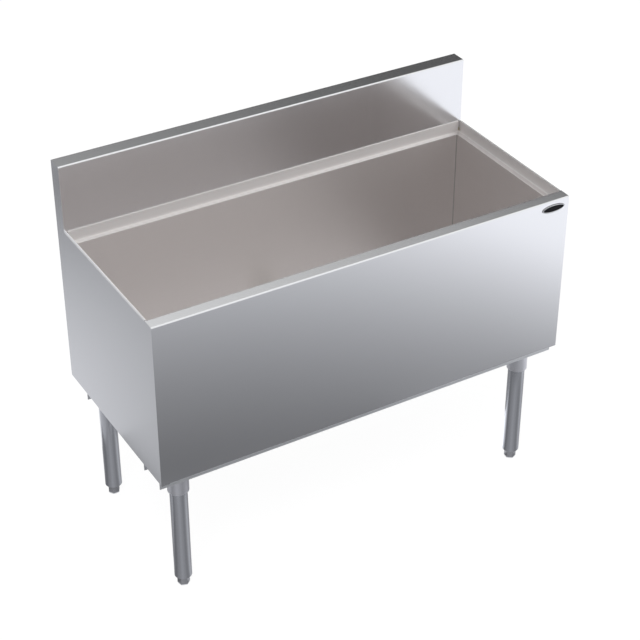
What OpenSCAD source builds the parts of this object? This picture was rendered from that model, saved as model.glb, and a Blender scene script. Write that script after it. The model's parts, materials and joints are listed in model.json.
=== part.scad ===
// Underbar ice bin: an insulated stainless steel box with a backsplash on four levelled legs.
// Origin on the floor under the middle of the body, +Z up, front towards -Y.

/* [Overall] */
// Width of the body
body_w = 1066.8; // [760:0.1:1520]
// Depth of the body, front to back
body_d = 482.6; // [440:0.1:620]
// Height of the body from its lower edge to the rim
body_h = 418.4; // [400:0.1:520]
// Height of the rim above the floor, feet screwed in
rim_h = 774; // [700:1:900]

/* [Backsplash] */
// Height of the backsplash above the rim
splash_h = 163; // [80:1:300]
// Thickness of the backsplash box
splash_d = 40.5; // [30:0.5:60]
// Length of its face that is tucked down behind the liner
splash_tuck = 20; // [10:1:25]
// Width of the back panel's flange under the top of the backsplash
splash_return = 20; // [10:1:28]

/* [Sheet metal] */
// Thickness of the casing and liner sheets
sheet_t = 1.2; // [0.8:0.1:1.6]
// Inside radius of the casing bends
bend_r = 1.5; // [1:0.1:2.5]
// Width of the casing's inward edges round the base
return_w = 18; // [14:1:24]
// Side of the relief notch between front flange and side rim
notch_w = 2; // [1:0.5:4]

/* [Rim and ledge] */
// Width of the flat flange along the front
front_flange_w = 31; // [24:0.5:50]
// Height of the lip turned down from that flange
lip_h = 15; // [8:1:20]
// Width of the rims along the two sides
rim_w = 5; // [4:0.5:8]
// Depth of the ledge below the rim
ledge_drop = 29.5; // [26:0.5:40]
// Radius of the coves along the two side ledges
side_cove_r = 3.2; // [2:0.1:10]
// Radius of the coves along the front and rear ledges
end_cove_r = 3.2; // [2:0.1:7.5]
// Radius of the ledge's rounded inner edge
edge_r = 2; // [1.8:0.1:4]
// Width of the ledge at the front and the sides
ledge_w = 12.7; // [8:0.1:25]
// Distance from the backsplash face to the rear wall of the bin
rear_ledge_w = 13.2; // [8:0.1:25]
// Thickness of the hemmed upper edge of the rear upstand
hem_t = 2.6; // [2.4:0.1:4]
// Height of that hem
hem_h = 12; // [6:1:20]
// Open seam between the rear upstand and the side upstands
seam_w = 3; // [0.5:0.5:4]

/* [Bin] */
// Depth of the bin below its ledge
bin_depth = 305; // [200:1:320]
// Radius of the corners and of the coved floor edges
corner_r = 3.2; // [2:0.1:25]
// Gap between the foam and the liner
foam_gap = 0.3; // [0.2:0.1:1]

/* [Drain] */
// Distance of the drain centre from the rear wall of the bin
drain_inset = 78; // [60:1:120]
// Radius of the dished seat in the floor
dish_r = 42; // [41:1:60]
// Depth of that seat
dish_drop = 3; // [2:0.5:6]
// Radius of the drain flange
drain_flange_r = 38; // [34:1:40]
// Thickness of the drain flange
drain_flange_t = 2.5; // [2:0.1:4]
// Outside radius of the drain's threaded spud
spud_r = 22; // [21:0.5:26]
// Length of the spud below its flange
spud_len = 32; // [26:1:40]
// Radius of the waterway through the spud
waterway_r = 19; // [17.5:0.5:20]
// Outside radius of the tailpiece's lower end, 1 inch pipe thread
tail_r = 16.7; // [16:0.1:18]
// Length of that threaded end
tail_thread_len = 25; // [15:1:29]
// Outside radius of the tailpiece above its thread
tail_pipe_r = 16.2; // [14.5:0.1:16.5]
// Bore radius of the tailpiece
tail_bore_r = 13.3; // [10:0.1:13.5]
// Length of the tailpiece inside the spud
tail_seat = 18; // [12:1:22]
// How far the tailpiece reaches below the base pan
tail_drop = 40; // [30:1:80]
// Radius of the strainer plate
strainer_r = 30; // [24:1:32]
// Thickness of the strainer plate
strainer_t = 1.5; // [1:0.1:2]
// Rings of holes round the strainer's middle hole
strainer_rings = 3; // [1:1:3]
// Radius of a hole in the strainer
strainer_hole_r = 1.6; // [1:0.1:2]
// Distance from one ring of strainer holes to the next
strainer_pitch = 5.2; // [4.5:0.1:6]
// Thickness of the gasket under the liner
gasket_t = 3; // [2:0.5:5]
// Outside radius of the gasket
gasket_r = 34; // [30:1:40]
// Thickness of the locknut
locknut_t = 9; // [6:0.5:12]
// Width of the locknut across its corners
locknut_w = 70; // [60:1:76]

/* [Under the body] */
// Inset of the base pan from the casing's outer faces
pan_inset = 3; // [1:0.5:5]
// Number of screws along the pan's front edge
pan_screws_front = 8; // [4:1:12]
// Number of screws along each side of the pan
pan_screws_side = 3; // [2:1:5]
// Distance of the outer front screws from the pan's corners
pan_screw_inset = 40; // [30:1:80]
// Thickness of the leg channel and rail
channel_t = 2; // [1.5:0.1:3]
// Width of the front leg channel
channel_w = 80.5; // [78:0.5:120]
// Distance of the channel's front flange from the front face
channel_inset = 17.8; // [17:0.1:20]
// Distance of the rail's flange from the back face
rail_w = 80.1; // [76:0.1:120]
// Gap between the rail's rear edge and the back face
rail_gap = 1.3; // [0:0.1:3]
// How far channel and rail flanges hang below the body
flange_drop = 22.8; // [15:0.1:40]
// Distance of channel and rail ends from the side faces
channel_end = 4; // [0:0.5:15]

/* [Legs] */
// Distance of the leg axes from the side faces
leg_inset_x = 66.8; // [55:0.1:140]
// Distance of the front leg axes from the front face
leg_inset_front = 60; // [50:0.1:68]
// Distance of the rear leg axes from the back face
leg_inset_rear = 38; // [32:0.1:48]
// Outside diameter of the leg tubes
leg_d = 41.3; // [38:0.1:42]
// Wall of the leg tubes
leg_wall = 1.5; // [1.2:0.1:2.5]
// Outside diameter of the sockets
socket_d = 50; // [48:0.5:56]
// How far the sockets reach below the body
socket_drop = 76; // [50:1:100]
// Clearance between leg and socket
socket_gap = 0.2; // [0.1:0.05:0.4]
// Length of a socket plate along the body
plate_w = 90; // [84:1:120]
// Gap between a socket plate and the flange beside it
plate_gap = 1.5; // [0.5:0.5:3]
// Thickness of a socket plate
plate_t = 3; // [2:0.5:5]
// Distance between the studs of a plate along the body
stud_dx = 70; // [66:1:76]
// Distance between the studs of a plate, front to back
stud_dy = 54; // [44:1:58]
// Length of a stud below the channel
stud_len = 12; // [11:0.5:16]
// Distance of a set screw above the socket's lower end
set_screw_up = 25; // [15:1:40]
// Length of a set screw
set_screw_len = 8; // [6:0.5:12]

/* [Feet] */
// Height of the hexagon of a foot
foot_h = 26; // [20:1:35]
// Width of the hexagon across its flats
foot_w = 25.4; // [22:0.1:30]
// Chamfer of its lower edge
foot_chamfer = 1.2; // [0.5:0.1:2]
// Length of the threaded stem
stem_len = 50; // [40:1:70]
// Radius of the threaded stem
stem_r = 7.95; // [6:0.05:9]
// Height of the threaded insert in a tube end
insert_h = 22; // [15:1:30]
// Gap between a foot that is screwed in and its insert
foot_gap = 0.3; // [0.1:0.1:1]

/* [Badge] */
// Length of the blank oval badge
badge_w = 63; // [30:1:80]
// Height of the badge
badge_h = 20.4; // [10:0.1:30]
// Thickness of the badge
badge_t = 1.6; // [0.8:0.1:3]
// Distance of the badge centre from the right side
badge_inset = 43.6; // [40:0.1:120]
// Distance of the badge centre below the rim
badge_drop = 20.2; // [16:0.1:60]

/* [Hidden] */
$fn = 48;

// Colours of the finishes
satin_steel = [0.66, 0.66, 0.67];
liner_steel = [0.60, 0.58, 0.56];
plated_steel = [0.56, 0.57, 0.58];
plated_brass = [0.72, 0.70, 0.66];
foam_cream = [0.87, 0.80, 0.60];
rubber_black = [0.08, 0.08, 0.08];
badge_black = [0.05, 0.05, 0.06];

// Outer faces of the body
side_x = body_w / 2;
front_y = -body_d / 2;
back_y = body_d / 2;
splash_y = back_y - splash_d;
base_z = rim_h - body_h;
top_z = rim_h + splash_h;

// Bends and inner edges of the casing
bend_outer = bend_r + sheet_t;
wall_x = side_x - sheet_t;
return_x = side_x - return_w - notch_w;
lip_y = front_y + front_flange_w;
rim_start = lip_y + notch_w;
rim_middle_z = rim_h - sheet_t / 2;
base_middle_z = base_z + sheet_t / 2;

// Faces of the upstands that look into the bin
upstand_x = side_x - rim_w;
upstand_front = lip_y - sheet_t;
upstand_rear = splash_y - hem_t;
liner_x = upstand_x + sheet_t;
hem_x = upstand_x - seam_w;

// Inner faces of the bin, and the coves as far as the ledges leave room for them
ledge_z = rim_h - ledge_drop;
floor_z = ledge_z - bin_depth;
tub_x = upstand_x - ledge_w;
tub_front = lip_y + ledge_w;
tub_rear = splash_y - rear_ledge_w;
side_cove = min(side_cove_r, ledge_w - edge_r);
end_cove = min(end_cove_r, ledge_w - edge_r, rear_ledge_w - hem_t - edge_r);

// Levels below the body
pan_z = base_z - sheet_t;
web_z = pan_z - channel_t;
plate_z = web_z - plate_t;
socket_z = base_z - socket_drop;
flange_z = base_z - flange_drop;

// Front channel and rear rail
channel_y = front_y + channel_inset;
channel_back = channel_y + channel_w;
rail_y = back_y - rail_w;
rail_back = back_y - rail_gap;
channel_x = side_x - channel_end;

// Legs, in the order of their names: front left, front right, rear left, rear right
leg_x = side_x - leg_inset_x;
leg_front = front_y + leg_inset_front;
leg_rear = back_y - leg_inset_rear;
leg_spots = [[-leg_x, leg_front], [leg_x, leg_front], [-leg_x, leg_rear], [leg_x, leg_rear]];
foot_turns = [-19, 23.5, 1.5, 38];
// Turns the start of the turned edge away from the hexagon's corners
seam_turn = 20;
tube_z = foot_h + foot_gap;
leg_r = leg_d / 2;
leg_bore_r = leg_r - leg_wall;
socket_bore_r = leg_r + socket_gap;

// Clearances of fits
thread_gap = 0.05;
press_gap = 0.05;
seat_gap = 0.2;
strainer_gap = 0.3;
foot_edge_gap = 0.3;
foam_hole_gap = 0.5;
well_gap = 2;
past = 1;

// Fasteners: shanks, holes and heads
screw_r = 2.1;
screw_len = 12;
screw_head_r = 4.2;
screw_head_h = 1.8;
channel_screw_r = 3;
channel_screw_len = 10;
channel_screw_head_w = 10;
channel_screw_head_h = 4;
stud_r = 3;
stud_hole_r = 3.4;
nut_w = 10;
nut_h = 5;
set_screw_r = 4;
set_screw_key_w = 4;
set_screw_key_depth = 3;

// Places of the base pan screws: along its front edge and along its two sides
pan_front_x = side_x - pan_screw_inset;
pan_front_step = 2 * pan_front_x / (pan_screws_front - 1);
pan_side_step = (rail_y - channel_back) / pan_screws_side;
pan_screw_spots = concat(
  [for (i = [0 : pan_screws_front - 1]) [i * pan_front_step - pan_front_x, front_y + return_w / 2]],
  [for (side = [-1, 1], i = [0 : pan_screws_side - 1])
    [side * (side_x - return_w / 2), channel_back + (i + 0.5) * pan_side_step]]
);

// Places of the screws that hold the channel and the rail, spread between the legs
channel_screw_count = 4;
channel_screw_step = 2 * leg_x / (channel_screw_count + 1);
channel_screw_spots = [
  for (y = [(channel_y + channel_back) / 2, back_y - return_w / 2], i = [1 : channel_screw_count])
    [i * channel_screw_step - leg_x, y]
];

// Drain levels, from the dished seat downwards
drain_y = tub_rear - drain_inset;
seat_z = floor_z - dish_drop;
gasket_z = seat_z - sheet_t - gasket_t;
locknut_z = gasket_z - locknut_t;
spud_z = seat_z - spud_len;
tail_z = pan_z - tail_drop;
strainer_z = seat_z + drain_flange_t - strainer_t;
well_r = max(locknut_w / 2, gasket_r) + well_gap;

// A box from its lowest and highest corners
module block(low, high) {
  translate(low)
    cube(high - low);
}

module rounded_rect(x0, x1, y0, y1, r) {
  translate([x0 + r, y0])
    square([x1 - x0 - 2 * r, y1 - y0]);
  translate([x0, y0 + r])
    square([x1 - x0, y1 - y0 - 2 * r]);
  for (x = [x0 + r, x1 - r], y = [y0 + r, y1 - r])
    translate([x, y])
      circle(r);
}

// Rectangle with its two lower corners rounded
module trough(x0, x1, y0, y1, r) {
  translate([x0, y0 + r])
    square([x1 - x0, y1 - y0 - r]);
  translate([x0 + r, y0])
    square([x1 - x0 - 2 * r, r]);
  for (x = [x0 + r, x1 - r])
    translate([x, y0 + r])
      circle(r);
}

module quarter_disc(r) {
  intersection() {
    circle(r);
    square(r);
  }
}

module both_sides() {
  for (side = [0, 1])
    mirror([side, 0, 0])
      children();
}

// Holes at a list of places, from one height to another
module holes(spots, low_z, high_z, r) {
  for (spot = spots)
    translate([spot[0], spot[1], low_z])
      cylinder(h = high_z - low_z, r = r);
}

// Section of a sheet with right-angled bends, from the corners of its middle line
module bent_outline(corners) {
  radius = bend_r + sheet_t / 2;
  last = len(corners) - 1;
  for (i = [0 : last - 1]) {
    step = corners[i + 1] - corners[i];
    start = i == 0 ? 0 : radius;
    end = i == last - 1 ? 0 : radius;
    translate(corners[i])
      rotate(atan2(step[1], step[0]))
        translate([start, -sheet_t / 2])
          square([norm(step) - start - end, sheet_t]);
  }
  for (i = [1 : 1 : last - 1]) {
    way_in = (corners[i] - corners[i - 1]) / norm(corners[i] - corners[i - 1]);
    way_out = (corners[i + 1] - corners[i]) / norm(corners[i + 1] - corners[i]);
    centre = corners[i] + radius * (way_out - way_in);
    reach = radius + sheet_t;
    intersection() {
      translate(centre)
        difference() {
          circle(bend_outer);
          circle(bend_r);
        }
      polygon([
        centre, centre - reach * way_out, centre + reach * (way_in - way_out),
        centre + reach * way_in
      ]);
    }
  }
}

// A sheet bent along X, from a middle line in Y and Z
module sheet_along_x(corners, x0, x1) {
  translate([x0, 0, 0])
    rotate([90, 0, 90])
      linear_extrude(x1 - x0)
        bent_outline(corners);
}

// A sheet bent along Y, from a middle line in X and Z
module sheet_along_y(corners, y0, y1) {
  translate([0, y1, 0])
    rotate([90, 0, 0])
      linear_extrude(y1 - y0)
        bent_outline(corners);
}

// Carries a section round the bin, drawn outwards from the axes of its corners
module round_the_bin(z) {
  half_y = (tub_rear - tub_front) / 2;
  translate([0, (tub_rear + tub_front) / 2, z])
    for (turn = [0 : 3]) {
      reach = (turn % 2 == 0 ? tub_x : half_y) - corner_r;
      run = (turn % 2 == 0 ? half_y : tub_x) - corner_r;
      rotate(90 * turn)
        translate([reach, run, 0]) {
          rotate([90, 0, 0])
            linear_extrude(2 * run)
              children();
          rotate_extrude(angle = 90)
            children();
        }
    }
}

module tub_outline(grow) {
  rounded_rect(-tub_x - grow, tub_x + grow, tub_front - grow, tub_rear + grow, corner_r + grow);
}

// Space of the bin with its round corners and coved floor, grown by a distance
module tub_space(grow, high_z) {
  cove_z = floor_z + corner_r;
  translate([0, 0, cove_z])
    linear_extrude(high_z - cove_z)
      tub_outline(grow);
  block([corner_r - tub_x, tub_front + corner_r, floor_z - grow],
    [tub_x - corner_r, tub_rear - corner_r, cove_z]);
  round_the_bin(cove_z)
    mirror([0, 1])
      quarter_disc(corner_r + grow);
}

// Opening in the ledge, out to where its rounded inner edge begins
module mouth_space(low_z, high_z) {
  translate([0, 0, low_z])
    linear_extrude(high_z - low_z)
      tub_outline(edge_r);
}

// Space above the ledge, coved along its four lower edges, grown by a distance
module recess_space(grow, high_z) {
  x = upstand_x + grow;
  y0 = upstand_front - grow;
  y1 = upstand_rear + grow;
  intersection() {
    translate([0, y1, 0])
      rotate([90, 0, 0])
        linear_extrude(y1 - y0)
          trough(-x, x, ledge_z - grow, high_z, side_cove + grow);
    translate([-x, 0, 0])
      rotate([90, 0, 90])
        linear_extrude(2 * x)
          trough(y0, y1, ledge_z - grow, high_z, end_cove + grow);
  }
}

// A stretch of the front sheet, with or without its lip and its inward edge along the base
module front_stretch(x0, x1, lip, base) {
  face_y = front_y + sheet_t / 2;
  lip_middle_y = lip_y - sheet_t / 2;
  top = lip ? [[lip_middle_y, rim_h - lip_h], [lip_middle_y, rim_middle_z]] : [[lip_y, rim_middle_z]];
  low = base ? [[face_y, base_middle_z], [front_y + return_w, base_middle_z]] : [[face_y, base_z]];
  sheet_along_x(concat(top, [[face_y, rim_middle_z]], low), x0, x1);
}

module front_panel() {
  lip_x = upstand_x - press_gap;
  color(satin_steel)
    difference() {
      union() {
        front_stretch(-return_x, return_x, true, true);
        both_sides() {
          front_stretch(return_x, lip_x, true, false);
          front_stretch(lip_x, side_x, false, false);
        }
      }
      pan_screw_holes();
    }
}

// Flat end of the side sheet above its bends: front corner and end of the backsplash
module side_ends() {
  bend_z = rim_h - bend_outer;
  translate([front_y + bend_outer, bend_z])
    mirror([1, 0])
      quarter_disc(bend_r);
  translate([front_y + bend_outer, bend_z])
    square([front_flange_w - bend_outer, bend_r]);
  translate([splash_y + bend_outer, top_z - bend_outer])
    mirror([1, 0])
      quarter_disc(bend_outer);
  translate([splash_y + bend_outer, bend_z])
    square([splash_d - bend_outer, top_z - bend_z]);
  translate([splash_y, bend_z])
    square([splash_d, top_z - rim_h]);
}

module right_side_shape() {
  middle_x = side_x - sheet_t / 2;
  base = [[side_x - return_w, base_middle_z], [middle_x, base_middle_z]];
  plain = concat(base, [[middle_x, rim_h - bend_outer]]);
  // Rim turned in over the foam, up to the liner's upstand
  rimmed = concat(base, [[middle_x, rim_middle_z], [liner_x, rim_middle_z]]);
  sheet_along_y(plain, front_y + sheet_t, rim_start);
  sheet_along_y(rimmed, rim_start, splash_y);
  sheet_along_y(plain, splash_y, back_y);
  translate([wall_x, 0, 0])
    rotate([90, 0, 90])
      linear_extrude(sheet_t)
        side_ends();
}

module right_side_panel() {
  color(satin_steel)
    difference() {
      right_side_shape();
      pan_screw_holes();
    }
}

module left_side_panel() {
  color(satin_steel)
    difference() {
      mirror([1, 0, 0])
        right_side_shape();
      pan_screw_holes();
    }
}

module back_panel() {
  face_y = back_y - sheet_t / 2;
  high_z = top_z - sheet_t;
  flange_middle_z = high_z - sheet_t / 2;
  color(satin_steel)
    difference() {
      union() {
        sheet_along_x([[back_y - splash_return, flange_middle_z], [face_y, flange_middle_z],
          [face_y, base_middle_z], [back_y - return_w, base_middle_z]], -return_x, return_x);
        both_sides()
          block([return_x, back_y - sheet_t, base_z + bend_outer], [wall_x, back_y, high_z]);
      }
      channel_screw_holes();
    }
}

module backsplash() {
  face_y = splash_y + sheet_t / 2;
  top_middle_z = top_z - sheet_t / 2;
  color(satin_steel)
    sheet_along_x([[face_y, rim_h - splash_tuck], [face_y, top_middle_z], [back_y, top_middle_z]],
      -wall_x, wall_x);
}

// Folded upper edge of the rear upstand, round on top
module rear_hem() {
  round_r = hem_t / 2;
  block([-hem_x, upstand_rear, rim_h - hem_h], [hem_x, splash_y, rim_h - round_r]);
  translate([-hem_x, upstand_rear + round_r, rim_h - round_r])
    rotate([0, 90, 0])
      cylinder(h = 2 * hem_x, r = round_r);
}

// Ledge with its coves and the upstands round it
module recess_shell() {
  difference() {
    union() {
      recess_space(sheet_t, rim_h);
      both_sides()
        block([upstand_x, upstand_rear, ledge_z], [liner_x, splash_y, rim_h]);
    }
    recess_space(0, rim_h + past);
    mouth_space(ledge_z - 2 * sheet_t, rim_h);
    // Room for the front flange and its bends
    block([-side_x, front_y, rim_h - bend_outer], [side_x, rim_start, rim_h + past]);
    // Room for the hem
    block([-upstand_x, upstand_rear, rim_h - hem_h], [upstand_x, splash_y, rim_h + past]);
    // Open seams at the rear corners
    both_sides()
      block([hem_x, upstand_rear, ledge_z], [upstand_x, splash_y, rim_h + past]);
  }
  rear_hem();
}

// Rounded inner edge of the ledge
module mouth_edge() {
  round_the_bin(ledge_z)
    translate([corner_r + edge_r, -edge_r])
      mirror([1, 0])
        difference() {
          quarter_disc(edge_r);
          circle(edge_r - sheet_t);
        }
}

// The tub with the dished seat of the drain
module tub_shell() {
  difference() {
    union() {
      tub_space(sheet_t, ledge_z - edge_r);
      translate([0, drain_y, seat_z - sheet_t])
        cylinder(h = dish_drop + sheet_t, r = dish_r + sheet_t);
    }
    tub_space(0, ledge_z);
    translate([0, drain_y, seat_z])
      cylinder(h = dish_drop + corner_r, r = dish_r);
    translate([0, drain_y, seat_z - 2 * sheet_t])
      cylinder(h = 3 * sheet_t, r = spud_r + seat_gap);
  }
}

module bin_liner() {
  color(liner_steel) {
    recess_shell();
    mouth_edge();
    tub_shell();
  }
}

module insulation() {
  inner_front = front_y + sheet_t;
  inner_back = back_y - sheet_t;
  bend_z = base_z + bend_outer;
  ledge_under = ledge_z - sheet_t - foam_gap;
  color(foam_cream)
    difference() {
      union() {
        block([-wall_x, inner_front, bend_z], [wall_x, inner_back, ledge_under]);
        // Stepped in round the lower bends of the casing, then down to the base pan
        block([bend_outer - side_x, front_y + bend_outer, base_z + sheet_t],
          [side_x - bend_outer, back_y - bend_outer, bend_z]);
        block([-return_x, front_y + return_w, base_z],
          [return_x, back_y - return_w, base_z + sheet_t]);
        // Up behind the front panel, and up into the foot of the backsplash
        block([-wall_x, inner_front, ledge_under],
          [wall_x, upstand_front - sheet_t - foam_gap, rim_h - bend_outer]);
        block([-wall_x, splash_y + sheet_t, ledge_under], [wall_x, inner_back, rim_h]);
      }
      tub_space(sheet_t + foam_gap, ledge_z);
      mouth_space(ledge_z - edge_r - foam_gap, ledge_z);
      // Seat and well of the drain, and the way down for its tailpiece
      translate([0, drain_y, seat_z - sheet_t - foam_gap])
        cylinder(h = dish_drop + corner_r, r = dish_r + sheet_t + foam_gap);
      translate([0, drain_y, locknut_z - well_gap])
        cylinder(h = seat_z - locknut_z + well_gap, r = well_r);
      translate([0, drain_y, pan_z])
        cylinder(h = seat_z - pan_z, r = spud_r + well_gap);
      holes(pan_screw_spots, pan_z, base_z + screw_len, screw_r + foam_hole_gap);
      holes(channel_screw_spots, pan_z, base_z + channel_screw_len, channel_screw_r + foam_hole_gap);
    }
}

module pan_screw_holes() {
  holes(pan_screw_spots, pan_z - past, base_z + sheet_t + past, screw_r + thread_gap);
}

module channel_screw_holes() {
  holes(channel_screw_spots, web_z - past, base_z + sheet_t + past, channel_screw_r + thread_gap);
}

module base_pan() {
  color(plated_steel)
    difference() {
      block([pan_inset - side_x, front_y + pan_inset, pan_z],
        [side_x - pan_inset, back_y - pan_inset, base_z]);
      pan_screw_holes();
      channel_screw_holes();
      holes([[0, drain_y]], pan_z - past, base_z + past, tail_r + well_gap);
    }
}

module base_pan_screws() {
  color(plated_steel) {
    holes(pan_screw_spots, pan_z, pan_z + screw_len, screw_r);
    holes(pan_screw_spots, pan_z - screw_head_h, pan_z, screw_head_r);
  }
}

// A length of channel or rail: a web with flanges that hang from it
module leg_rail(y0, y1, flange_spots) {
  color(satin_steel)
    difference() {
      union() {
        block([-channel_x, y0, web_z], [channel_x, y1, pan_z]);
        for (y = flange_spots)
          block([-channel_x, y, flange_z], [channel_x, y + channel_t, web_z]);
      }
      channel_screw_holes();
    }
}

module front_leg_channel() {
  leg_rail(channel_y, channel_back, [channel_y, channel_back - channel_t]);
}

module rear_leg_rail() {
  leg_rail(rail_y, rail_back, [rail_y]);
}

module channel_screws() {
  color(plated_steel) {
    holes(channel_screw_spots, web_z, web_z + channel_screw_len, channel_screw_r);
    for (spot = channel_screw_spots)
      translate([spot[0], spot[1], web_z - channel_screw_head_h])
        cylinder(h = channel_screw_head_h, d = channel_screw_head_w / cos(30), $fn = 6);
  }
}

// Front and rear edges of a leg's socket plate, between the flanges beside it
function plate_span(leg) = leg < 2
  ? [channel_y + channel_t + plate_gap, channel_back - channel_t - plate_gap]
  : [rail_y + channel_t + plate_gap, rail_back - plate_gap];

// Places of the four studs of a leg's socket plate
function stud_spots(leg) = [
  for (dx = [-1, 1], dy = [-1, 1]) [
    leg_spots[leg][0] + dx * stud_dx / 2,
    (plate_span(leg)[0] + plate_span(leg)[1]) / 2 + dy * stud_dy / 2
  ]
];

all_stud_spots = [for (leg = [0 : 3], spot = stud_spots(leg)) spot];

module leg_socket(leg) {
  x = leg_spots[leg][0];
  y = leg_spots[leg][1];
  color(satin_steel)
    difference() {
      union() {
        block([x - plate_w / 2, plate_span(leg)[0], plate_z],
          [x + plate_w / 2, plate_span(leg)[1], web_z]);
        translate([x, y, socket_z])
          cylinder(h = plate_z - socket_z, d = socket_d);
      }
      holes([[x, y]], socket_z - past, plate_z, socket_bore_r);
      holes(stud_spots(leg), plate_z - past, web_z + past, stud_hole_r);
      // Threaded hole of the set screw, on the side that faces the back
      translate([x, y, socket_z + set_screw_up])
        rotate([-90, 0, 0])
          cylinder(h = socket_d, r = set_screw_r + thread_gap);
    }
}

module socket_studs() {
  color(plated_steel)
    holes(all_stud_spots, web_z - stud_len, web_z, stud_r);
}

module socket_nuts() {
  color(plated_steel)
    difference() {
      for (spot = all_stud_spots)
        translate([spot[0], spot[1], plate_z - nut_h])
          cylinder(h = nut_h, d = nut_w / cos(30), $fn = 6);
      holes(all_stud_spots, plate_z - nut_h - past, plate_z + past, stud_r + thread_gap);
    }
}

module socket_set_screws() {
  color(plated_steel)
    for (spot = leg_spots)
      translate([spot[0], spot[1] + leg_r + press_gap, socket_z + set_screw_up])
        rotate([-90, 0, 0])
          difference() {
            cylinder(h = set_screw_len, r = set_screw_r);
            translate([0, 0, set_screw_len - set_screw_key_depth])
              cylinder(h = set_screw_len, d = set_screw_key_w / cos(30), $fn = 6);
          }
}

module leg_tube(leg) {
  color(satin_steel)
    difference() {
      holes([leg_spots[leg]], tube_z, plate_z, leg_r);
      holes([leg_spots[leg]], tube_z - past, plate_z + past, leg_bore_r);
    }
}

module leg_insert(leg) {
  high_z = tube_z + insert_h;
  color(plated_steel)
    difference() {
      holes([leg_spots[leg]], tube_z, high_z, leg_bore_r - press_gap);
      holes([leg_spots[leg]], tube_z - past, high_z + past, stem_r + thread_gap);
    }
}

// Hexagon with a turned lower edge, and the stem that screws into the leg
module foot(leg) {
  hex_r = foot_w / 2 / cos(30);
  sole_r = foot_w / 2 - foot_edge_gap;
  slope = foot_chamfer / (hex_r - sole_r);
  high_z = foot_h + past;
  color(satin_steel)
    translate([leg_spots[leg][0], leg_spots[leg][1], 0])
      rotate(foot_turns[leg]) {
        intersection() {
          translate([0, 0, -past])
            cylinder(h = high_z, r = hex_r, $fn = 6);
          rotate(seam_turn)
            rotate_extrude()
              polygon([[0, 0], [sole_r, 0], [hex_r + past, foot_chamfer + past * slope],
                [hex_r + past, high_z], [0, high_z]]);
        }
        translate([0, 0, foot_h / 2])
          cylinder(h = foot_h / 2 + stem_len, r = stem_r);
      }
}

module drain_body() {
  color(plated_brass)
    translate([0, drain_y, 0])
      difference() {
        union() {
          translate([0, 0, seat_z])
            cylinder(h = drain_flange_t, r = drain_flange_r);
          translate([0, 0, spud_z])
            cylinder(h = spud_len, r = spud_r);
        }
        translate([0, 0, spud_z + tail_seat])
          cylinder(h = spud_len, r = waterway_r);
        translate([0, 0, spud_z - past])
          cylinder(h = spud_len, r = tail_pipe_r + thread_gap);
        translate([0, 0, strainer_z])
          cylinder(h = drain_flange_t, r = strainer_r + strainer_gap);
      }
}

module drain_strainer() {
  color(satin_steel)
    translate([0, drain_y, strainer_z])
      difference() {
        cylinder(h = strainer_t, r = strainer_r);
        for (ring = [0 : strainer_rings], i = [0 : max(6 * ring, 1) - 1])
          rotate(ring == 0 ? 0 : 60 * i / ring)
            translate([ring * strainer_pitch, 0, -past])
              cylinder(h = strainer_t + 2 * past, r = strainer_hole_r, $fn = 24);
      }
}

module drain_gasket() {
  color(rubber_black)
    difference() {
      holes([[0, drain_y]], gasket_z, gasket_z + gasket_t, gasket_r);
      holes([[0, drain_y]], gasket_z - past, gasket_z + gasket_t + past, spud_r + seat_gap);
    }
}

module drain_locknut() {
  color(plated_brass)
    difference() {
      translate([0, drain_y, locknut_z])
        cylinder(h = locknut_t, d = locknut_w, $fn = 6);
      holes([[0, drain_y]], locknut_z - past, locknut_z + locknut_t + past, spud_r + thread_gap);
    }
}

module drain_tailpiece() {
  high_z = spud_z + tail_seat;
  color(plated_brass)
    difference() {
      union() {
        holes([[0, drain_y]], tail_z, high_z, tail_pipe_r);
        holes([[0, drain_y]], tail_z, tail_z + tail_thread_len, tail_r);
      }
      holes([[0, drain_y]], tail_z - past, high_z + past, tail_bore_r);
    }
}

// Blank oval with a stepped edge
module badge_plate() {
  step = badge_t / 2;
  color(badge_black)
    translate([side_x - badge_inset, front_y, rim_h - badge_drop])
      rotate([90, 0, 0])
        for (inset = [0, step])
          linear_extrude(step + inset)
            scale([badge_w / 2 - inset, badge_h / 2 - inset])
              circle(1, $fn = 64);
}

front_panel();
left_side_panel();
right_side_panel();
back_panel();
backsplash();
bin_liner();
insulation();
base_pan();
base_pan_screws();
front_leg_channel();
rear_leg_rail();
channel_screws();
leg_socket(0);  // leg_socket_fl
leg_socket(1);  // leg_socket_fr
leg_socket(2);  // leg_socket_rl
leg_socket(3);  // leg_socket_rr
socket_studs();
socket_nuts();
socket_set_screws();
leg_tube(0);  // leg_tube_fl
leg_tube(1);  // leg_tube_fr
leg_tube(2);  // leg_tube_rl
leg_tube(3);  // leg_tube_rr
leg_insert(0);  // leg_insert_fl
leg_insert(1);  // leg_insert_fr
leg_insert(2);  // leg_insert_rl
leg_insert(3);  // leg_insert_rr
foot(0);  // foot_fl
foot(1);  // foot_fr
foot(2);  // foot_rl
foot(3);  // foot_rr
drain_body();
drain_strainer();
drain_gasket();
drain_locknut();
drain_tailpiece();
badge_plate();
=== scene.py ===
"""Underbar ice bin: finishes, fine pieces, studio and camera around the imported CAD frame.

Everything is in metres, with the floor at z = 0, the front of the bin towards -Y and its
width along X.
"""

import json
import math

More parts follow.
